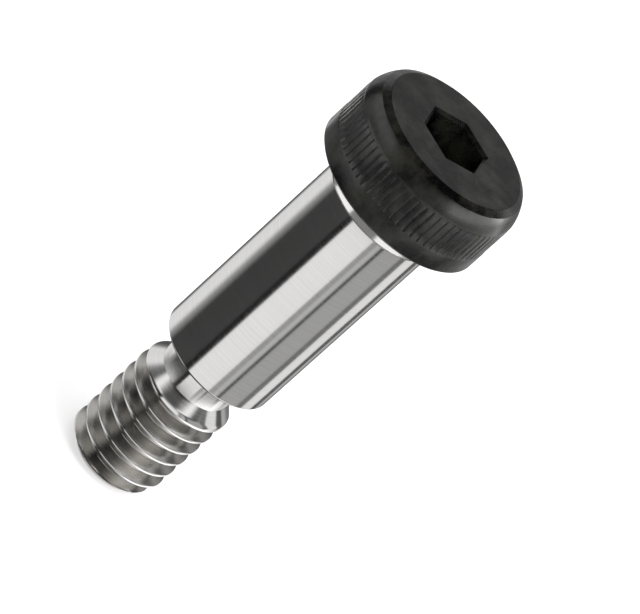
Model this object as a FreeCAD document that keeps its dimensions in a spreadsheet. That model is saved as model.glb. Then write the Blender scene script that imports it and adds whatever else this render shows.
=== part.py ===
"""Shoulder bolt: a knurled socket head, a ground shoulder and a threaded end, in one piece.

The bolt stands on its threaded end. The origin is the centre of the flat tip, +Z runs along
the axis to the head, and a corner of the hexagon socket points along -Y. Lengths are in
millimetres and angles in degrees.
"""

import FreeCAD, Part
import math
import os

import Sketcher

BOLT_NAME = "shoulder_bolt"

# Driving sizes: the alias, the value and what it measures.
SIZES = [
    ("thread_reach", 12.7, "from the flat tip to the end face of the shoulder"),
    ("thread_diameter", 7.94, "over the crests of the thread"),
    ("thread_pitch", 1.411, "rise of one turn"),
    ("thread_depth", 0.86, "from the crests to the roots"),
    ("thread_crest", 0.18, "flat left at each crest"),
    ("thread_angle", 60.0, "between the flanks"),
    ("thread_lead", 1.76, "how far below the tip the groove starts, over +X"),
    ("tip_diameter", 5.9, "flat tip"),
    ("tip_angle", 90.0, "cone behind the tip"),
    ("neck_diameter", 6.1, "neck between the thread and the shoulder"),
    ("neck_width", 2.5, "length of the neck"),
    ("neck_slope", 0.9, "length of the cone from the crests down to the neck"),
    ("neck_flare", 0.4, "height and width of the cone from the neck out to the end face"),
    ("shoulder_diameter", 9.49, "ground shoulder"),
    ("shoulder_length", 19.95, "from its end face to the underside of the head"),
    ("shoulder_break", 0.2, "broken edge of its end face"),
    ("relief_diameter", 8.94, "grinding relief under the head"),
    ("relief_width", 1.7, "length of the relief"),
    ("relief_slope", 0.12, "length of the cone from the shoulder down to the relief"),
    ("head_fillet", 0.4, "fillet between the relief and the underside of the head"),
    ("head_diameter", 14.2, "plain band and crests of the knurl"),
    ("head_height", 6.0, "from its underside to its flat top"),
    ("underside_break", 0.18, "broken edge of its underside"),
    ("lower_band", 1.6, "plain band between the underside and the knurl"),
    ("knurl_length", 2.85, "straight knurl"),
    ("knurl_depth", 0.12, "depth of a knurl groove"),
    ("knurl_angle", 90.0, "between the sides of a knurl groove"),
    ("knurl_count", 72, "grooves round the head"),
    ("crown_height", 2.15, "rounded crown, below the flat top"),
    ("crown_diameter", 13.0, "sharp edge at the top of the crown"),
    ("face_diameter", 11.9, "flat top"),
    ("face_chamfer", 0.32, "height of the cone between the crown's edge and the flat top"),
    ("socket_width", 4.76, "across the flats of the hexagon socket"),
    ("socket_depth", 3.6, "depth of the flats"),
    ("socket_mouth", 0.25, "chamfer along the mouth of the socket"),
    ("socket_point", 118.0, "cone at the bottom of the socket"),
]

SHOULDER_END = "sizes.thread_reach"
NECK_START = f"({SHOULDER_END} - sizes.neck_width)"
HEAD_UNDERSIDE = f"({SHOULDER_END} + sizes.shoulder_length)"
RELIEF_START = f"({HEAD_UNDERSIDE} - sizes.relief_width)"
KNURL_START = f"({HEAD_UNDERSIDE} + sizes.lower_band)"
HEAD_TOP = f"({HEAD_UNDERSIDE} + sizes.head_height)"
SOCKET_BOTTOM = f"({HEAD_TOP} - sizes.socket_depth)"

# How far a cutting profile stands outside the solid, and how close two sizes count as equal.
OVERCUT = 0.3
CLOSE = 1e-4


def fill_sheet(doc):
    """Write the driving sizes to a spreadsheet, each with its alias."""
    sheet = doc.addObject("Spreadsheet::Sheet", "sizes")
    for row, (alias, value, meaning) in enumerate(SIZES, start=1):
        sheet.set(f"A{row}", alias)
        sheet.set(f"B{row}", str(value))
        sheet.set(f"C{row}", meaning)
        sheet.setAlias(f"B{row}", alias)
    doc.recompute()


def new_sketch(body, name, role, height=None):
    """Attach a sketch to one of the body's origin planes, raised by an expression if given."""
    sketch = body.newObject("Sketcher::SketchObject", name)
    plane = next(item for item in body.Origin.OriginFeatures if item.Role == role)
    sketch.AttachmentSupport = (plane, [""])
    sketch.MapMode = "FlatFace"
    if height is not None:
        sketch.setExpression("AttachmentOffset.Base.z", height)
    return sketch


def bind_distance(sketch, kind, corner, name, expression):
    """Hold one corner at a bound distance from an axis, on the side where it lies."""
    value = float(sketch.evalExpression(expression))
    if value < 0:
        constraint = Sketcher.Constraint(kind, corner, 1, -1, 1, -value)
        expression = f"-({expression})"
    else:
        constraint = Sketcher.Constraint(kind, -1, 1, corner, 1, value)
    index = sketch.addConstraint(constraint)
    sketch.renameConstraint(index, name)
    sketch.setExpression(f"Constraints.{name}", expression)


def draw_outline(sketch, corners, arc_from=None):
    """Draw a closed outline through corners, each a name and its two bound distances.

    None in place of an expression keeps the corner on that axis. The side that starts at
    the corner named by arc_from is an arc, tangent to the side before it.
    """
    names = [name for name, _, _ in corners]
    points = []
    for _, across, along in corners:
        x = 0.0 if across is None else float(sketch.evalExpression(across))
        y = 0.0 if along is None else float(sketch.evalExpression(along))
        points.append(FreeCAD.Vector(x, y, 0))
    for side, (start, end) in enumerate(zip(points, points[1:] + points[:1])):
        if names[side] == arc_from:
            sketch.addGeometry(Part.Arc(start, tangent_middle(start, end), end), False)
        else:
            sketch.addGeometry(Part.LineSegment(start, end), False)
    for side, name in enumerate(names):
        before = (side - 1) % len(names)
        joint = "Tangent" if name == arc_from else "Coincident"
        sketch.addConstraint(Sketcher.Constraint(joint, before, 2, side, 1))
    for corner, (name, across, along) in enumerate(corners):
        if across is None:
            sketch.addConstraint(Sketcher.Constraint("PointOnObject", corner, 1, -2))
        else:
            bind_distance(sketch, "DistanceX", corner, f"{name}_across", across)
        if along is None:
            sketch.addConstraint(Sketcher.Constraint("PointOnObject", corner, 1, -1))
        else:
            bind_distance(sketch, "DistanceY", corner, f"{name}_along", along)


def tangent_middle(start, end):
    """Return the middle of the arc that leaves start upright, bends inwards and ends at end."""
    across = start.x - end.x
    up = end.y - start.y
    radius = (across**2 + up**2) / (2 * across)
    half_turn = math.atan2(up, radius - across) / 2
    centre = FreeCAD.Vector(start.x - radius, start.y, 0)
    return centre + FreeCAD.Vector(math.cos(half_turn), math.sin(half_turn), 0) * radius


def circles_at(shape, radius, height):
    """Name the circular edges round the axis with this radius and height."""
    found = []
    for number, edge in enumerate(shape.Edges, start=1):
        curve = edge.Curve
        if not isinstance(curve, Part.Circle):
            continue
        if abs(curve.Radius - radius) < CLOSE and abs(curve.Center.z - height) < CLOSE:
            found.append(f"Edge{number}")
    return found


def straight_edges_at(shape, height):
    """Name the straight edges that lie level at this height."""
    found = []
    for number, edge in enumerate(shape.Edges, start=1):
        level = all(abs(vertex.Z - height) < CLOSE for vertex in edge.Vertexes)
        if level and isinstance(edge.Curve, Part.Line):
            found.append(f"Edge{number}")
    return found


def turn_blank(body):
    """Turn the whole bolt, before its knurl, socket and thread, from one half section."""
    sketch = new_sketch(body, "blank_section", "XZ_Plane")
    draw_outline(
        sketch,
        [
            ("tip_centre", None, None),
            ("tip_edge", "sizes.tip_diameter / 2", None),
            (
                "tip_cone",
                "sizes.thread_diameter / 2",
                "(sizes.thread_diameter - sizes.tip_diameter) / 2 / tan(sizes.tip_angle * 1deg / 2)",
            ),
            ("thread_end", "sizes.thread_diameter / 2", f"{NECK_START} - sizes.neck_slope"),
            ("neck_start", "sizes.neck_diameter / 2", NECK_START),
            ("neck_end", "sizes.neck_diameter / 2", f"{SHOULDER_END} - sizes.neck_flare"),
            ("flare_end", "sizes.neck_diameter / 2 + sizes.neck_flare", SHOULDER_END),
            ("end_face", "sizes.shoulder_diameter / 2 - sizes.shoulder_break", SHOULDER_END),
            ("shoulder_foot", "sizes.shoulder_diameter / 2", f"{SHOULDER_END} + sizes.shoulder_break"),
            ("shoulder_top", "sizes.shoulder_diameter / 2", RELIEF_START),
            ("relief_foot", "sizes.relief_diameter / 2", f"{RELIEF_START} + sizes.relief_slope"),
            ("relief_top", "sizes.relief_diameter / 2", HEAD_UNDERSIDE),
            ("underside", "sizes.head_diameter / 2 - sizes.underside_break", HEAD_UNDERSIDE),
            ("rim", "sizes.head_diameter / 2", f"{HEAD_UNDERSIDE} + sizes.underside_break"),
            ("crown_foot", "sizes.head_diameter / 2", f"{HEAD_TOP} - sizes.crown_height"),
            ("crown_edge", "sizes.crown_diameter / 2", f"{HEAD_TOP} - sizes.face_chamfer"),
            ("face_edge", "sizes.face_diameter / 2", HEAD_TOP),
            ("face_centre", None, HEAD_TOP),
        ],
        arc_from="crown_foot",
    )
    blank = body.newObject("PartDesign::Revolution", "turned_blank")
    blank.Profile = (sketch, [""])
    blank.ReferenceAxis = (sketch, ["V_Axis"])
    blank.Angle = 360.0
    body.Document.recompute()
    return blank


def fillet_head(body, blank):
    """Round the inner corner between the relief and the underside of the head."""
    radius = float(blank.evalExpression("sizes.relief_diameter / 2"))
    height = float(blank.evalExpression(HEAD_UNDERSIDE))
    fillet = body.newObject("PartDesign::Fillet", "head_fillet")
    fillet.Base = (blank, circles_at(blank.Shape, radius, height))
    fillet.setExpression("Radius", "sizes.head_fillet")
    body.Document.recompute()


def sink_socket(body):
    """Sink the hexagon socket, chamfer its mouth and drill the cone at its bottom."""
    sketch = new_sketch(body, "socket_hexagon", "XY_Plane", HEAD_TOP)
    half_width = "sizes.socket_width / 2"
    corner = "sizes.socket_width / sqrt(3)"
    draw_outline(
        sketch,
        [
            ("front", None, f"-{corner}"),
            ("front_right", half_width, f"-{corner} / 2"),
            ("back_right", half_width, f"{corner} / 2"),
            ("back", None, corner),
            ("back_left", f"-{half_width}", f"{corner} / 2"),
            ("front_left", f"-{half_width}", f"-{corner} / 2"),
        ],
    )
    socket = body.newObject("PartDesign::Pocket", "socket")
    socket.Profile = (sketch, [""])
    socket.setExpression("Length", "sizes.socket_depth")
    body.Document.recompute()

    mouth = body.newObject("PartDesign::Chamfer", "socket_mouth")
    height = float(socket.evalExpression(HEAD_TOP))
    mouth.Base = (socket, straight_edges_at(socket.Shape, height))
    mouth.setExpression("Size", "sizes.socket_mouth")
    body.Document.recompute()

    sketch = new_sketch(body, "socket_point_section", "XZ_Plane")
    draw_outline(
        sketch,
        [
            ("point", None, f"{SOCKET_BOTTOM} - {half_width} / tan(sizes.socket_point * 1deg / 2)"),
            ("edge", half_width, SOCKET_BOTTOM),
            ("centre", None, SOCKET_BOTTOM),
        ],
    )
    point = body.newObject("PartDesign::Groove", "socket_point")
    point.Profile = (sketch, [""])
    point.ReferenceAxis = (sketch, ["V_Axis"])
    point.Angle = 360.0
    body.Document.recompute()


def knurl_head(body):
    """Cut one straight groove in the side of the head and repeat it all the way round."""
    sketch = new_sketch(body, "knurl_section", "XY_Plane", KNURL_START)
    root = "(sizes.head_diameter / 2 - sizes.knurl_depth)"
    outside = f"(sizes.head_diameter / 2 + {OVERCUT})"
    half_width = f"(({outside} - {root}) * tan(sizes.knurl_angle * 1deg / 2))"
    draw_outline(
        sketch,
        [
            ("root", root, None),
            ("right", outside, half_width),
            ("left", outside, f"-{half_width}"),
        ],
    )
    groove = body.newObject("PartDesign::Pocket", "knurl_groove")
    groove.Profile = (sketch, [""])
    groove.Reversed = True
    groove.setExpression("Length", "sizes.knurl_length")
    body.Document.recompute()

    knurl = body.newObject("PartDesign::PolarPattern", "knurl")
    knurl.Originals = [groove]
    knurl.Axis = (sketch, ["N_Axis"])
    knurl.Angle = 360.0
    knurl.setExpression("Occurrences", "sizes.knurl_count")
    body.Tip = knurl
    body.Document.recompute()


def cut_thread(body):
    """Cut the left-hand thread as one groove, from below the tip until it runs into the neck."""
    sketch = new_sketch(body, "thread_section", "XZ_Plane")
    slope = "tan(sizes.thread_angle * 1deg / 2)"
    root = "(sizes.thread_diameter / 2 - sizes.thread_depth)"
    outside = f"(sizes.thread_diameter / 2 + {OVERCUT})"
    half_mouth = "((sizes.thread_pitch - sizes.thread_crest) / 2)"
    half_root = f"({half_mouth} - sizes.thread_depth * {slope})"
    half_outside = f"({half_mouth} + {OVERCUT} * {slope})"
    draw_outline(
        sketch,
        [
            ("root_low", root, f"-sizes.thread_lead - {half_root}"),
            ("mouth_low", outside, f"-sizes.thread_lead - {half_outside}"),
            ("mouth_high", outside, f"-sizes.thread_lead + {half_outside}"),
            ("root_high", root, f"-sizes.thread_lead + {half_root}"),
        ],
    )
    thread = body.newObject("PartDesign::SubtractiveHelix", "thread")
    thread.Profile = (sketch, [""])
    thread.ReferenceAxis = (sketch, ["V_Axis"])
    thread.Mode = "pitch-height-angle"
    thread.LeftHanded = True
    thread.setExpression("Pitch", "sizes.thread_pitch")
    thread.setExpression("Height", f"{NECK_START} + sizes.thread_lead")
    body.Document.recompute()


def write_parts(doc, bodies):
    """Check the finished model, then write each sub-part to its own STEP file."""
    for item in doc.Objects:
        if "Invalid" in item.State or "Error" in item.State:
            raise RuntimeError(f"{item.Name} failed: {item.State}")
    for body in bodies:
        if body.Shape.isNull() or not body.Shape.isValid() or len(body.Shape.Solids) != 1:
            raise RuntimeError(f"{body.Label} isn't one sound solid")
    os.makedirs("parts", exist_ok=True)
    for body in bodies:
        body.Shape.exportStep(f"parts/{body.Label}.step")
        print(f"{body.Label}: {body.Shape.Volume:.1f} mm3 in {len(body.Shape.Faces)} faces")


def main():
    doc = FreeCAD.newDocument(BOLT_NAME)
    fill_sheet(doc)
    body = doc.addObject("PartDesign::Body", "Body")
    body.Label = BOLT_NAME
    blank = turn_blank(body)
    fillet_head(body, blank)
    sink_socket(body)
    knurl_head(body)
    cut_thread(body)
    doc.recompute()
    write_parts(doc, [body])


main()
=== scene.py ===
"""The finished look of the shoulder bolt: a black knurled head, a ground shoulder and a rolled thread."""

import math

import bmesh
import bpy
import numpy as np
from mathutils import Matrix, Vector


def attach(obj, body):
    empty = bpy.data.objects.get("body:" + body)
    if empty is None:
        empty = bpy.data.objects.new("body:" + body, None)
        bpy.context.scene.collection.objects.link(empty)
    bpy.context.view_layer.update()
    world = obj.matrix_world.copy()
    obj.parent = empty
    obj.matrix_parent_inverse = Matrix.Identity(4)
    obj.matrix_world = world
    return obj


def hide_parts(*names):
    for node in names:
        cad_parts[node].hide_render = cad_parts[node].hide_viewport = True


MM = 0.001

# Thread in millimetres. Heights are above the flat tip, and the lead is how far below it the helix starts.
# The ground finish reaches down the crests' sides a little.
TIP_R = 2.95
THREAD_R = 3.97
THREAD_DEPTH = 0.86
THREAD_PITCH = 1.411
THREAD_CREST = 0.18
THREAD_FLANK = math.radians(30)
THREAD_LEAD = 1.76
CREST_ROUNDING = 0.07
CREST_GROUND = 0.6 * CREST_ROUNDING
ROOT_ROUNDING = 0.05

# Thread's end: where the cone to the neck starts, the root's height at which the last groove has faded out,
# and the share of its depth below which it has the ground finish.
THREAD_END = 9.3
GROOVE_END = 9.5
GROOVE_FADE = 0.4
CONE_ROUNDING = 0.15
CUT_ROUNDING = 0.03
GROUND_BELOW = 0.6

# Neck, shoulder and relief.
NECK_R = 3.05
NECK_START = 10.2
NECK_FILLET = 0.4
SHOULDER_END = 12.7
SHOULDER_R = 4.745
SHOULDER_BREAK = 0.2
SHOULDER_END_ROUNDING = 0.06
SHOULDER_ROUNDING = 0.1
RELIEF_START = 30.95
RELIEF_EDGE_ROUNDING = 0.015
RELIEF_STEP = 0.06
RELIEF_STEP_ROUNDING = 0.02
RELIEF_CONE = 0.8
RELIEF_R = 4.47
RELIEF_ROUNDING = 0.3

# Head. The shoulder's rings meet the head's finer ones on the underside, at the seam. A margin is how far
# the plain rings stay away from a rounded edge.
UNDERSIDE = 32.65
UNDERSIDE_BREAK = 0.18
UNDERSIDE_ROUNDING = 0.05
SEAM_R = SHOULDER_R + 0.3
SEAM_WIDTH = 0.1
HEAD_R = 7.1
HEAD_FILLET = 0.4
HEAD_TOP = 38.65
CROWN_FOOT = 36.5
CROWN_EDGE = 38.33
CROWN_EDGE_R = 6.5
CROWN_ROUNDING = 0.09
CROWN_MARGIN = 0.12
FACE_R = 5.95
FACE_ROUNDING = 0.12
FACE_MARGIN = 0.6

# Knurl: its grooves, with the shares of their width at which columns stand, the slopes that they end on,
# and how far its lands lie inside the plain band.
KNURL_START = 34.25
KNURL_END = 37.1
KNURL_SLOPE = 0.16
KNURL_DEPTH = 0.12
KNURL_RUNOUT = 0.2
KNURL_COUNT = 72
KNURL_ROOT_SHARE = 0.12
KNURL_SIDE_SHARE = 0.55
KNURL_DROP = 0.03
KNURL_FILLET = 0.02
KNURL_FILLET_WIDTH = 0.04

# Socket, and the circle on the face from which the rings turn into its hexagon.
SOCKET_HALF = 2.38
SOCKET_MOUTH = 0.25
SOCKET_DEPTH = 3.6
SOCKET_POINT = math.radians(59)
FACE_CIRCLE_R = FACE_R - 0.9

# How finely the skin is divided. A support is a ring beside a rounded edge that keeps its shading there, no
# further along a short side than a share of its length.
ROUND_STEPS = 144
FLANK_STEP = 0.15
ARC_STEPS = 4
SUPPORT = 0.04
SUPPORT_SHARE = 0.3
END_GAP = 0.004
SHARP_ANGLE = math.radians(32)

# Camera: azimuth, elevation, roll, distance to the point that it looks at, and lens.
VIEW_AZIMUTH = -7.5
VIEW_ELEVATION = 29.24
VIEW_ROLL = 47.98
VIEW_DISTANCE = 310.0
VIEW_TARGET = Vector((2.222, 0, 21.756))
VIEW_LENS = 244.9

# Finishes: darkest and lightest colour, and features per metre along each axis.
BLACK, GROUND, ROLLED = range(3)
OXIDE_COLOURS = (0.001, 0.001, 0.0015), (0.028, 0.0275, 0.021)
OXIDE_MOTTLE = (420, 420, 420)
OXIDE_CLOUD = (900, 900, 900)
GROUND_COLOURS = (0.76, 0.75, 0.74), (0.86, 0.855, 0.85)
GROUND_LINES = (60, 60, 22000)
ROLLED_COLOURS = (0.42, 0.405, 0.385), (0.58, 0.565, 0.54)
ROLLED_DRAG = (500, 500, 3000)

# Stage: the floor, the world and the lamp, in metres.
FLOOR_HALF = 3.0
FLOOR_GLOW = 0.5
WORLD_LIGHT = 0.7
LAMP_PLACE = Vector((0.45, -0.25, 0.6))
LAMP_SIZE = 0.5
LAMP_POWER = 2.5

# Light tent in millimetres, which shows only in reflections. Its wall stands in tiers, from the lowest up,
# and each tier fades into the next one below its top. A tier has its top height and its panels: the angle
# from the camera, to the right, and the level there. The floor has panels too.
TENT_R = 20.0
TENT_FOOT = 0.1
TENT_FOOT_R = 3.2
TENT_FLOOR_R = 5.3
TENT_ROOF_HOLE_R = 0.1
COLLAR_IN_R = 3.5
COLLAR_OUT_R = 4.7
COLLAR_GAP = 0.05
TENT_STEPS = 72
TENT_TURN = 1.4
TENT_FADE = 2.4
TENT_DARK = (0.03, 0.027, 0.024)
TENT_FLOOR = [
    (-180, 0.8), (-125, 0.8), (-112, 0.6), (-98, 0.35), (-88, 0.35), (-70, 0.55), (-50, 0.9), (-36, 0.8),
    (-26, 0.05), (-9, 0.05), (-4, 0.14), (8, 0.14), (18, 0.26), (34, 0.8), (50, 1.5), (100, 1.4), (125, 0.6),
    (180, 0.8),
]
TENT_TIERS = [
    (25.0, [
        (-180, 0.2), (-150, 0.08), (-141, 0.2), (-131, 0.8), (-120, 0.8), (-105, 0.85), (-99, 0.8),
        (-90, 0.34), (-76, 0.05), (-27, 0.055), (-26, 0.012), (-17, 0.012), (-16, 0.9), (27, 0.88),
        (28, 0.34), (35, 0.34), (36, 0.52), (43, 0.52), (44, 0.07), (48.5, 0.07), (49.5, 0.4), (82, 0.4),
        (84, 0.17), (94, 0.17), (95, 0.85), (116, 0.85), (117, 0.1), (129, 0.1), (131, 0.5), (137, 0.45),
        (146, 0.2), (180, 0.2),
    ]),
    (30.2, [
        (-180, 0.45), (-150, 0.7), (-142, 1.2), (-128, 1.2), (-119, 0.2), (-104, 0.2), (-100, 0.4),
        (-84, 0.2), (-67, 0.08), (-50, 0.05), (-33, 0.09), (-14, 0.22), (16, 0.36), (33, 0.14), (50, 0.06),
        (67, 0.08), (84, 0.16), (102, 0.34), (112, 0.5), (120, 0.7), (140, 0.7), (180, 0.45),
    ]),
    (34.8, [
        (-180, 0.3), (-146, 0.5), (-124, 0.5), (-120, 0.06), (-106, 0.06), (-98, 0.3), (-78, 0.3), (-75, 1.1),
        (-30, 1.1), (-26, 0.25), (22, 0.25), (27, 1.1), (75, 1.1), (80, 0.6), (98, 0.6), (104, 1.3),
        (115, 1.3), (119, 0.5), (140, 0.3), (180, 0.3),
    ]),
    (40.3, [
        (-180, 0.3), (-146, 0.5), (-124, 0.5), (-120, 0.06), (-106, 0.06), (-100, 0.45), (-45, 0.35),
        (-36, 0.2), (-18, 0.08), (16, 0.08), (40, 0.3), (52, 0.55), (98, 0.6), (104, 1.5), (113, 1.5),
        (118, 0.4), (140, 0.3), (180, 0.3),
    ]),
    (48.5, [
        (-180, 0.3), (-152, 0.3), (-146, 0.6), (-124, 0.6), (-120, 0.08), (-106, 0.08), (-100, 0.85),
        (-45, 0.95), (-36, 0.35), (-18, 0.1), (16, 0.1), (38, 0.6), (50, 2.0), (98, 2.0), (104, 4.5),
        (114, 4.5), (120, 1.2), (131, 0.8), (138, 0.3), (180, 0.3),
    ]),
    (60.0, [(-180, 0.3), (-155, 0.3), (-150, 0.04), (150, 0.04), (155, 0.3), (180, 0.3)]),
]


class Skin:
    """Grows the bolt's skin ring by ring, in millimetres."""

    def __init__(self):
        self.points = []
        self.faces = []
        self.finishes = []

    def ring(self, radii, heights, angles):
        """Add a ring of points and return their numbers. Radii and heights may vary round it."""
        first = len(self.points)
        radii = np.broadcast_to(radii, angles.shape)
        heights = np.broadcast_to(heights, angles.shape)
        self.points += list(zip(radii * np.cos(angles), radii * np.sin(angles), heights))
        return list(range(first, len(self.points)))

    def face(self, corners, finish):
        """Add a face, without the corners that fall together."""
        kept = [corner for step, corner in enumerate(corners) if corner != corners[step - 1]]
        if len(set(kept)) > 2:
            self.faces.append(kept)
            self.finishes.append(finish)

    def join(self, low, high, finish):
        """Join two rings, where one may have a whole number of times the points of the other."""
        count = max(len(low), len(high))
        for step in range(count):
            a, b = (low[(step + k) * len(low) // count % len(low)] for k in (0, 1))
            d, c = (high[(step + k) * len(high) // count % len(high)] for k in (0, 1))
            self.face([a, b, c, d], finish)

    def cap(self, ring, height, finish, upward):
        """Close a ring with triangles to a point on the axis."""
        self.points.append((0.0, 0.0, height))
        centre = len(self.points) - 1
        for a, b in zip(ring, ring[1:] + ring[:1]):
            self.face([a, b, centre] if upward else [b, a, centre], finish)


def rounded(corners):
    """Points along a half section of (radius, height, rounding) corners, with its corners rounded."""
    points = [np.array(corners[0][:2])]
    for before, (r, z, rounding), after in zip(corners, corners[1:], corners[2:]):
        corner = np.array((r, z))
        if rounding == 0:
            points.append(corner)
            continue
        back = np.array(before[:2]) - corner
        ahead = np.array(after[:2]) - corner
        lengths = np.linalg.norm(back), np.linalg.norm(ahead)
        back /= lengths[0]
        ahead /= lengths[1]
        half = math.acos(np.clip(back @ ahead, -1, 1)) / 2
        reach = rounding / math.tan(half)
        centre = corner + (back + ahead) / np.linalg.norm(back + ahead) * rounding / math.sin(half)
        start = corner + back * reach - centre
        end = corner + ahead * reach - centre
        turn = math.atan2(start[0] * end[1] - start[1] * end[0], start @ end)
        supports = [min(SUPPORT, SUPPORT_SHARE * length) for length in lengths]
        points.append(centre + start + back * supports[0])
        for step in range(ARC_STEPS + 1):
            angle = turn * step / ARC_STEPS
            cosine, sine = math.cos(angle), math.sin(angle)
            points.append(centre + (start[0] * cosine - start[1] * sine, start[0] * sine + start[1] * cosine))
        points.append(centre + end + ahead * supports[1])
    points.append(np.array(corners[-1][:2]))
    return points


def soft_min(a, b, blend):
    """The smaller of two values, with the corner between them rounded."""
    share = np.clip(0.5 + (b - a) / (2 * blend), 0, 1)
    return b + (a - b) * share - blend * share * (1 - share)


def thread_section():
    """Radii and offsets along the axis through one turn of the thread, from crest to crest."""
    half_mouth = (THREAD_PITCH - THREAD_CREST) / 2
    half_root = half_mouth - THREAD_DEPTH * math.tan(THREAD_FLANK)
    root = THREAD_R - THREAD_DEPTH
    points = rounded([
        (THREAD_R, -THREAD_PITCH / 2, 0),
        (THREAD_R, -half_mouth, CREST_ROUNDING),
        (root, -half_root, ROOT_ROUNDING),
        (root, half_root, ROOT_ROUNDING),
        (THREAD_R, half_mouth, CREST_ROUNDING),
        (THREAD_R, THREAD_PITCH / 2, 0),
    ])
    section = []
    for start, end in zip(points, points[1:]):
        parts = max(1, round(np.linalg.norm(end - start) / FLANK_STEP))
        section += [start + (end - start) * part / parts for part in range(parts)]
    return section


def end_cones(height):
    """Radius that the cones at the tip and at the neck leave for the thread."""
    tip = TIP_R + height
    neck = THREAD_R - (height - THREAD_END) * (THREAD_R - NECK_R) / (NECK_START - THREAD_END)
    return np.maximum(np.minimum(tip, neck), 0)


def thread_rows(skin, section, angles, low, high):
    """Rows of points along the helix between two plain rings, and the groove's depth there, from 0 to 1."""
    turns = math.ceil((NECK_START + THREAD_LEAD) / THREAD_PITCH) + 2
    rows = []
    for turn in range(-1, turns):
        roots = turn * THREAD_PITCH - THREAD_LEAD + THREAD_PITCH * (1 - angles / (2 * math.pi))
        depth = np.clip((GROOVE_END - roots) / GROOVE_FADE, 0, 1)
        for radius, offset in section:
            heights = roots + offset
            cones = end_cones(heights)
            blank = soft_min(cones, THREAD_R, CONE_ROUNDING)
            radii = blank - (blank - soft_min(radius, cones, CUT_ROUNDING)) * depth
            inside = (heights > END_GAP) & (heights < NECK_START - END_GAP)
            numbers = skin.ring(radii, heights, angles)
            row = [
                number if keep else (low[step] if height < THREAD_END / 2 else high[step])
                for step, (number, keep, height) in enumerate(zip(numbers, inside, heights))
            ]
            rows.append((row, depth))
    return rows


def grow_thread(skin, angles):
    """Add the thread, whose rows follow the helix, and return the plain rings at both its ends."""
    low = skin.ring(TIP_R, 0.0, angles)
    high = skin.ring(NECK_R, NECK_START, angles)
    section = thread_section()
    wrap = len(section)
    rows = thread_rows(skin, section, angles, low, high)
    for number, ((row, depth), (after, _)) in enumerate(zip(rows, rows[1:])):
        lowest = min(section[number % wrap][0], section[(number + 1) % wrap][0])
        crest = lowest > THREAD_R - CREST_GROUND
        finishes = [GROUND if crest or share < GROUND_BELOW else ROLLED for share in depth]
        for step in range(len(angles) - 1):
            skin.face([row[step], row[step + 1], after[step + 1], after[step]], finishes[step])
        ahead = [rows[k - wrap][0][0] if k >= wrap else low[0] for k in (number, number + 1)]
        skin.face([row[-1], ahead[0], ahead[1], after[-1]], finishes[-1])
    return low, high


def grow_rings(skin, section, angles, ring, finish):
    """Add a ring at each point of a section, each joined to the one before it."""
    for radius, height in section:
        following = skin.ring(radius, height, angles)
        skin.join(ring, following, finish)
        ring = following
    return ring


def grow_shoulder(skin, angles, ring):
    """Add the neck, the end face, the shoulder and the relief, up to the underside of the head."""
    neck = rounded([
        (NECK_R, NECK_START, 0),
        (NECK_R, SHOULDER_END, NECK_FILLET),
        (SHOULDER_R - SHOULDER_BREAK, SHOULDER_END, SHOULDER_END_ROUNDING),
        (SHOULDER_R, SHOULDER_END + SHOULDER_BREAK, SHOULDER_ROUNDING),
        (SHOULDER_R, RELIEF_START, RELIEF_EDGE_ROUNDING),
        (SHOULDER_R - RELIEF_STEP, RELIEF_START + RELIEF_STEP / 2, RELIEF_STEP_ROUNDING),
        (RELIEF_R, RELIEF_START + RELIEF_CONE, RELIEF_ROUNDING),
        (RELIEF_R, UNDERSIDE, HEAD_FILLET),
        (SEAM_R, UNDERSIDE, 0),
    ])
    return grow_rings(skin, [(NECK_R, NECK_START + SUPPORT)] + neck[1:], angles, ring, GROUND)


def knurl_angles():
    """Angles of the columns through the head: for each groove its root, sides, mouth and land."""
    period = 2 * math.pi / KNURL_COUNT
    mouth = KNURL_DEPTH / HEAD_R
    root = mouth * KNURL_ROOT_SHARE
    side = mouth * KNURL_SIDE_SHARE
    within = np.array([0, root, side, mouth, period / 2, period - mouth, period - side, period - root])
    return (np.arange(KNURL_COUNT)[:, None] * period + within).ravel()


def knurl_radii(angles, surface, cut):
    """Radii of one ring through the knurl. Cut is the share of the full depth reached there."""
    period = 2 * math.pi / KNURL_COUNT
    across = np.abs((angles + period / 2) % period - period / 2) * HEAD_R
    fillet = KNURL_FILLET * np.exp(-((across / KNURL_FILLET_WIDTH) ** 2))
    return np.minimum(surface, HEAD_R - KNURL_DEPTH * cut + across + fillet)


def crown_radius(height):
    """Radius of the head's side: upright to the crown's foot, then an arc that bends inwards."""
    rise = CROWN_EDGE - CROWN_FOOT
    inward = HEAD_R - CROWN_EDGE_R
    arc = (inward ** 2 + rise ** 2) / (2 * inward)
    above = np.maximum(height - CROWN_FOOT, 0)
    return HEAD_R - arc + math.sqrt(arc ** 2 - above ** 2)


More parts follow.
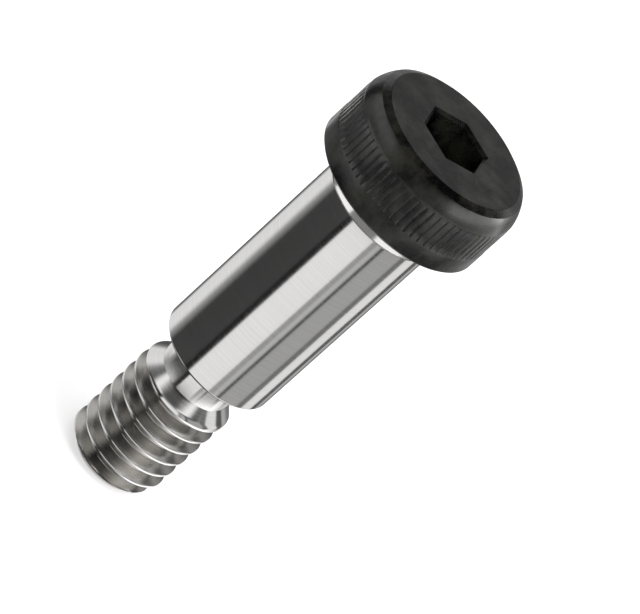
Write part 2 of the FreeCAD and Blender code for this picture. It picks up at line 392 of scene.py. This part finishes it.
def grow_head(skin, angles, ring):
    """Add the underside, the knurled side, the crown and the rim of the flat top."""
    under = rounded([
        (SEAM_R + SEAM_WIDTH, UNDERSIDE, 0),
        (HEAD_R - UNDERSIDE_BREAK, UNDERSIDE, UNDERSIDE_ROUNDING),
        (HEAD_R, UNDERSIDE + UNDERSIDE_BREAK, UNDERSIDE_ROUNDING),
        (HEAD_R, KNURL_START, 0),
    ])
    ring = grow_rings(skin, under, angles, ring, BLACK)
    heights = [KNURL_START + KNURL_SLOPE * share for share in (0.35, 0.7, 1)]
    heights += list(np.linspace(KNURL_START + KNURL_SLOPE, CROWN_FOOT, 5)[1:])
    heights += list(np.linspace(CROWN_FOOT, KNURL_END - KNURL_SLOPE, 4)[1:])
    heights += [KNURL_END - KNURL_SLOPE * share for share in (0.7, 0.35, 0)]
    for height in heights:
        cut = np.clip(min(height - KNURL_START, KNURL_END - height) / KNURL_SLOPE, 0, 1)
        surface = crown_radius(height) - KNURL_DROP * cut
        radii = knurl_radii(angles, surface, (1 + KNURL_RUNOUT) * cut - KNURL_RUNOUT)
        following = skin.ring(radii, height, angles)
        skin.join(ring, following, BLACK)
        ring = following
    crown_top = CROWN_EDGE - CROWN_MARGIN
    crown = [(crown_radius(height), height) for height in np.linspace(KNURL_END, crown_top, 7)[1:]]
    edge = rounded([
        (crown_radius(crown_top), crown_top, 0),
        (CROWN_EDGE_R, CROWN_EDGE, CROWN_ROUNDING),
        (FACE_R, HEAD_TOP, FACE_ROUNDING),
        (FACE_R - FACE_MARGIN, HEAD_TOP, 0),
    ])
    return grow_rings(skin, crown + edge[1:], angles, ring, BLACK)


def hexagon_radius(angles, half_width):
    """Distance from the axis to a hexagon's side, with a corner along -Y."""
    turned = (angles + math.pi / 2) % (math.pi / 3) - math.pi / 6
    return half_width / np.cos(turned)


def grow_socket(skin, angles, ring):
    """Add the flat top round the socket, then the socket down to its point."""
    mouth = hexagon_radius(angles, SOCKET_HALF + SOCKET_MOUTH)
    side = hexagon_radius(angles, SOCKET_HALF)
    floor = HEAD_TOP - SOCKET_DEPTH
    across = mouth - FACE_CIRCLE_R
    top = [(FACE_CIRCLE_R + across * share, HEAD_TOP) for share in (0.3, 0.6, 0.85, 1)]
    sides = [(side, height) for height in np.linspace(HEAD_TOP - SOCKET_MOUTH, floor, 6)]
    point = []
    for share in (0.99, 0.75, 0.5, 0.25):
        radius = SOCKET_HALF * share
        point.append((radius, floor - (SOCKET_HALF - radius) / math.tan(SOCKET_POINT)))
    ring = grow_rings(skin, top + sides + point, angles, ring, BLACK)
    skin.cap(ring, floor - SOCKET_HALF / math.tan(SOCKET_POINT), BLACK, upward=True)


def build_bolt(materials):
    """Build the whole bolt as one closed mesh."""
    skin = Skin()
    angles = np.arange(ROUND_STEPS) * 2 * math.pi / ROUND_STEPS
    low, high = grow_thread(skin, angles)
    tip = [skin.ring(TIP_R * share, 0.0, angles) for share in (0.96, 0.6, 0.3)]
    for outer, inner in zip([low] + tip, tip):
        skin.join(inner, outer, ROLLED)
    skin.cap(tip[-1], 0.0, ROLLED, upward=False)
    ring = grow_shoulder(skin, angles, high)
    ring = grow_head(skin, knurl_angles(), ring)
    grow_socket(skin, angles, ring)

    mesh = bpy.data.meshes.new("shoulder_bolt_skin")
    mesh.from_pydata([Vector(point) * MM for point in skin.points], [], skin.faces)
    for material in materials:
        mesh.materials.append(material)
    mesh.polygons.foreach_set("material_index", skin.finishes)
    mesh.polygons.foreach_set("use_smooth", [True] * len(mesh.polygons))
    mesh.update()
    remove_loose_points(mesh)
    mesh.set_sharp_from_angle(angle=SHARP_ANGLE)
    bolt = bpy.data.objects.new("shoulder_bolt_skin", mesh)
    bpy.context.scene.collection.objects.link(bolt)
    return bolt


def remove_loose_points(mesh):
    """Delete the points that no face uses."""
    shape = bmesh.new()
    shape.from_mesh(mesh)
    loose = [vert for vert in shape.verts if not vert.link_faces]
    bmesh.ops.delete(shape, geom=loose, context="VERTS")
    shape.to_mesh(mesh)
    shape.free()


def new_material(name):
    """A material with its node tree, its Principled shader and its object coordinates."""
    material = bpy.data.materials.new(name)
    material.use_nodes = True
    tree = material.node_tree
    shader = tree.nodes["Principled BSDF"]
    place = tree.nodes.new("ShaderNodeTexCoord").outputs["Object"]
    return material, tree, shader, place


def scaled_noise(tree, place, scale, detail, roughness=0.6):
    """Noise over the object's coordinates, with a scale along each axis, in features per metre."""
    mapping = tree.nodes.new("ShaderNodeMapping")
    mapping.inputs["Scale"].default_value = scale
    tree.links.new(place, mapping.inputs["Vector"])
    noise = tree.nodes.new("ShaderNodeTexNoise")
    noise.inputs["Scale"].default_value = 1.0
    noise.inputs["Detail"].default_value = detail
    noise.inputs["Roughness"].default_value = roughness
    tree.links.new(mapping.outputs["Vector"], noise.inputs["Vector"])
    return noise.outputs["Fac"]


def map_range(tree, value, low, high, to_low, to_high):
    """Map a value's range to another one."""
    node = tree.nodes.new("ShaderNodeMapRange")
    node.inputs["From Min"].default_value = low
    node.inputs["From Max"].default_value = high
    node.inputs["To Min"].default_value = to_low
    node.inputs["To Max"].default_value = to_high
    tree.links.new(value, node.inputs["Value"])
    return node.outputs["Result"]


def mix_colours(tree, share, first, second):
    """Mix two colours by a share."""
    node = tree.nodes.new("ShaderNodeMix")
    node.data_type = "RGBA"
    node.inputs["A"].default_value = (*first, 1)
    node.inputs["B"].default_value = (*second, 1)
    tree.links.new(share, node.inputs["Factor"])
    return node.outputs["Result"]


def add_bump(tree, shader, height, distance, strength):
    """Raise the surface by a height."""
    bump = tree.nodes.new("ShaderNodeBump")
    bump.inputs["Distance"].default_value = distance
    bump.inputs["Strength"].default_value = strength
    tree.links.new(height, bump.inputs["Height"])
    tree.links.new(bump.outputs["Normal"], shader.inputs["Normal"])


def black_oxide():
    """Black-oxidised steel: dark, dull and unevenly mottled."""
    material, tree, shader, place = new_material("black_oxide")
    mottle = scaled_noise(tree, place, OXIDE_MOTTLE, detail=6, roughness=0.65)
    colour = mix_colours(tree, map_range(tree, mottle, 0.42, 0.68, 0, 1), *OXIDE_COLOURS)
    tree.links.new(colour, shader.inputs["Base Color"])
    shader.inputs["Specular IOR Level"].default_value = 0.72
    cloud = scaled_noise(tree, place, OXIDE_CLOUD, detail=5)
    tree.links.new(map_range(tree, cloud, 0.35, 0.65, 0.2, 0.36), shader.inputs["Roughness"])
    add_bump(tree, shader, cloud, distance=0.00006, strength=0.35)
    return material


def ground_steel():
    """Bright steel with the fine rings that grinding leaves round it."""
    material, tree, shader, place = new_material("ground_steel")
    shader.inputs["Metallic"].default_value = 1.0
    lines = scaled_noise(tree, place, GROUND_LINES, detail=2)
    colour = mix_colours(tree, map_range(tree, lines, 0.3, 0.7, 0, 1), *GROUND_COLOURS)
    tree.links.new(colour, shader.inputs["Base Color"])
    tree.links.new(map_range(tree, lines, 0.3, 0.7, 0.09, 0.16), shader.inputs["Roughness"])
    add_bump(tree, shader, lines, distance=0.000002, strength=0.3)
    return material


def rolled_steel():
    """Steel as thread rolling leaves it: smooth, a little uneven along the thread."""
    material, tree, shader, place = new_material("rolled_steel")
    shader.inputs["Metallic"].default_value = 1.0
    drag = scaled_noise(tree, place, ROLLED_DRAG, detail=4)
    colour = mix_colours(tree, map_range(tree, drag, 0.3, 0.7, 0, 1), *ROLLED_COLOURS)
    tree.links.new(colour, shader.inputs["Base Color"])
    tree.links.new(map_range(tree, drag, 0.3, 0.7, 0.16, 0.28), shader.inputs["Roughness"])
    add_bump(tree, shader, drag, distance=0.00001, strength=0.35)
    return material


def glossy_only(piece):
    """Let a piece show in reflections and nowhere else."""
    piece.visible_camera = False
    piece.visible_diffuse = False
    piece.visible_shadow = False
    piece.visible_transmission = False
    piece.visible_volume_scatter = False


def stage_piece(name, points, faces, material, turn=0.0):
    """Make a piece of the stage from points in metres, turned with the camera and by some degrees more."""
    mesh = bpy.data.meshes.new(name)
    mesh.from_pydata(points, [], faces)
    mesh.materials.append(material)
    piece = bpy.data.objects.new(name, mesh)
    piece.rotation_euler.z = math.radians(VIEW_AZIMUTH + turn)
    bpy.context.scene.collection.objects.link(piece)
    return piece


def emission_material(name):
    """A material that only glows, ready for its colour."""
    material = bpy.data.materials.new(name)
    material.use_nodes = True
    tree = material.node_tree
    tree.nodes.clear()
    output = tree.nodes.new("ShaderNodeOutputMaterial")
    emission = tree.nodes.new("ShaderNodeEmission")
    tree.links.new(emission.outputs["Emission"], output.inputs["Surface"])
    material.cycles.emission_sampling = "NONE"
    return material, tree, emission


def angle_round(tree, split):
    """The angle round the tent out of split coordinates, from 0 to 1, with the camera's side at a half."""
    flip = tree.nodes.new("ShaderNodeMath")
    flip.operation = "MULTIPLY"
    flip.inputs[1].default_value = -1
    tree.links.new(split.outputs["Y"], flip.inputs[0])
    angle = tree.nodes.new("ShaderNodeMath")
    angle.operation = "ARCTAN2"
    tree.links.new(split.outputs["X"], angle.inputs[0])
    tree.links.new(flip.outputs["Value"], angle.inputs[1])
    return map_range(tree, angle.outputs["Value"], -math.pi, math.pi, 0, 1)


def panel_ramp(tree, turn, panels):
    """Levels of the panels round the tent, from their angles."""
    ramp = tree.nodes.new("ShaderNodeValToRGB")
    elements = ramp.color_ramp.elements
    for index, (degrees, level) in enumerate(panels):
        place_on_ramp = (degrees + 180) / 360
        stop = elements[index] if index < 2 else elements.new(place_on_ramp)
        stop.position = place_on_ramp
        stop.color = (level, level, level, 1)
    tree.links.new(turn, ramp.inputs["Fac"])
    return ramp.outputs["Color"]


def tent_material(name, panels, above=None, top=0.0):
    """White, grey and black panels round the tent, which fade into the panels above them below their top."""
    material, tree, emission = emission_material(name)
    split = tree.nodes.new("ShaderNodeSeparateXYZ")
    tree.links.new(tree.nodes.new("ShaderNodeTexCoord").outputs["Object"], split.inputs["Vector"])
    turn = angle_round(tree, split)
    colour = panel_ramp(tree, turn, panels)
    if above:
        fade = tree.nodes.new("ShaderNodeMix")
        fade.data_type = "RGBA"
        height = map_range(tree, split.outputs["Z"], (top - TENT_FADE) * MM, top * MM, 0, 1)
        tree.links.new(height, fade.inputs["Factor"])
        tree.links.new(colour, fade.inputs["A"])
        tree.links.new(panel_ramp(tree, turn, above), fade.inputs["B"])
        colour = fade.outputs["Result"]
    tree.links.new(colour, emission.inputs["Color"])
    return material


def tent_ring(name, inner, outer, material):
    """Make one ring of the tent between two circles, each a radius and a height in millimetres."""
    angles = [2 * math.pi * step / TENT_STEPS for step in range(TENT_STEPS)]
    points = []
    for radius, height in (inner, outer):
        points += [Vector((radius * math.cos(a), radius * math.sin(a), height)) * MM for a in angles]
    following = [(step + 1) % TENT_STEPS for step in range(TENT_STEPS)]
    faces = [(k, n, TENT_STEPS + n, TENT_STEPS + k) for k, n in enumerate(following)]
    glossy_only(stage_piece(name, points, faces, material, TENT_TURN))


def build_tent():
    """Stand a round tent about the bolt, with a dark roof and a dark collar under the shoulder's end face."""
    floor_panels = tent_material("tent_floor_panels", TENT_FLOOR)
    tent_ring("tent_floor", (TENT_FLOOR_R, TENT_FOOT), (TENT_R, TENT_FOOT), floor_panels)
    bottom = TENT_FOOT
    panels_above = [panels for _, panels in TENT_TIERS[1:]] + [None]
    for number, ((top, panels), above) in enumerate(zip(TENT_TIERS, panels_above), start=1):
        tier = tent_material(f"tent_panels_{number}", panels, above, top)
        tent_ring(f"tent_tier_{number}", (TENT_R, bottom), (TENT_R, top), tier)
        bottom = top

    dark, _, emission = emission_material("tent_dark")
    emission.inputs["Color"].default_value = (*TENT_DARK, 1)
    collar = SHOULDER_END - COLLAR_GAP
    tent_ring("tent_foot", (TENT_FOOT_R, TENT_FOOT), (TENT_FLOOR_R, TENT_FOOT), dark)
    tent_ring("tent_collar", (COLLAR_IN_R, collar), (COLLAR_OUT_R, collar), dark)
    tent_ring("tent_roof", (TENT_ROOF_HOLE_R, bottom), (TENT_R, bottom), dark)


def seen_rays(tree, strength):
    """The strength for camera, glossy and transmission rays, and none for the rays that light the bolt."""
    path = tree.nodes.new("ShaderNodeLightPath")
    total = path.outputs["Is Camera Ray"]
    for name in ("Is Glossy Ray", "Is Transmission Ray"):
        most = tree.nodes.new("ShaderNodeMath")
        most.operation = "MAXIMUM"
        tree.links.new(total, most.inputs[0])
        tree.links.new(path.outputs[name], most.inputs[1])
        total = most.outputs["Value"]
    return map_range(tree, total, 0, 1, 0, strength)


def build_floor():
    """Lay a wide white floor, which shows white to the camera outside the bolt's shadow."""
    material = bpy.data.materials.new("white_floor")
    material.use_nodes = True
    tree = material.node_tree
    shader = tree.nodes["Principled BSDF"]
    shader.inputs["Base Color"].default_value = (0.85, 0.85, 0.85, 1)
    shader.inputs["Roughness"].default_value = 0.9
    shader.inputs["Emission Color"].default_value = (1, 1, 1, 1)
    tree.links.new(seen_rays(tree, FLOOR_GLOW), shader.inputs["Emission Strength"])
    corners = [(x * FLOOR_HALF, y * FLOOR_HALF, 0) for x, y in ((-1, -1), (1, -1), (1, 1), (-1, 1))]
    stage_piece("floor", corners, [(0, 1, 2, 3)], material)


def build_world():
    """A white world where it is seen, and a soft grey one as light."""
    world = bpy.data.worlds.new("studio")
    world.use_nodes = True
    bpy.context.scene.world = world
    tree = world.node_tree
    background = tree.nodes["Background"]
    background.inputs["Color"].default_value = (1, 1, 1, 1)
    strength = map_range(tree, seen_rays(tree, 1.0), 0, 1, WORLD_LIGHT, 1.0)
    tree.links.new(strength, background.inputs["Strength"])


def build_lamp():
    """A large soft lamp from the upper right."""
    light = bpy.data.lights.new("softbox", "AREA")
    light.shape = "SQUARE"
    light.size = LAMP_SIZE
    light.energy = LAMP_POWER
    lamp = bpy.data.objects.new("softbox", light)
    lamp.location = LAMP_PLACE
    lamp.rotation_euler = LAMP_PLACE.to_track_quat("Z", "Y").to_euler()
    lamp.visible_glossy = False
    bpy.context.scene.collection.objects.link(lamp)


def build_camera():
    """Look at the bolt from the photograph's angle, rolled so that the axis runs up to the right."""
    data = bpy.data.cameras.new("camera")
    data.sensor_width = 36.0
    data.lens = VIEW_LENS
    data.clip_start = 0.01
    data.clip_end = 20.0
    camera = bpy.data.objects.new("camera", data)
    turn = Matrix.Rotation(math.radians(VIEW_AZIMUTH), 4, "Z")
    target = Matrix.Translation(VIEW_TARGET * MM)
    tilt = Matrix.Rotation(math.radians(90 - VIEW_ELEVATION), 4, "X")
    roll = Matrix.Rotation(math.radians(VIEW_ROLL), 4, "Z")
    back = Matrix.Translation((0, 0, VIEW_DISTANCE * MM))
    camera.matrix_world = turn @ target @ tilt @ roll @ back
    bpy.context.scene.collection.objects.link(camera)
    bpy.context.scene.camera = camera


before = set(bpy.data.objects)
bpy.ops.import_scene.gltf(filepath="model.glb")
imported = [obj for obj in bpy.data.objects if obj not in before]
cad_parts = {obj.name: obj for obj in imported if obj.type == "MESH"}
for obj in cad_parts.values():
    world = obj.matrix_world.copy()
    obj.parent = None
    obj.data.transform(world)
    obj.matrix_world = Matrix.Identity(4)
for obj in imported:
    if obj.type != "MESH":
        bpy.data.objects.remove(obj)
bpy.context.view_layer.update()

bpy.context.scene.view_settings.view_transform = "Standard"
bolt = build_bolt([black_oxide(), ground_steel(), rolled_steel()])
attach(bolt, "root")
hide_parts("shoulder_bolt")

build_floor()
build_tent()
build_world()
build_lamp()
build_camera()
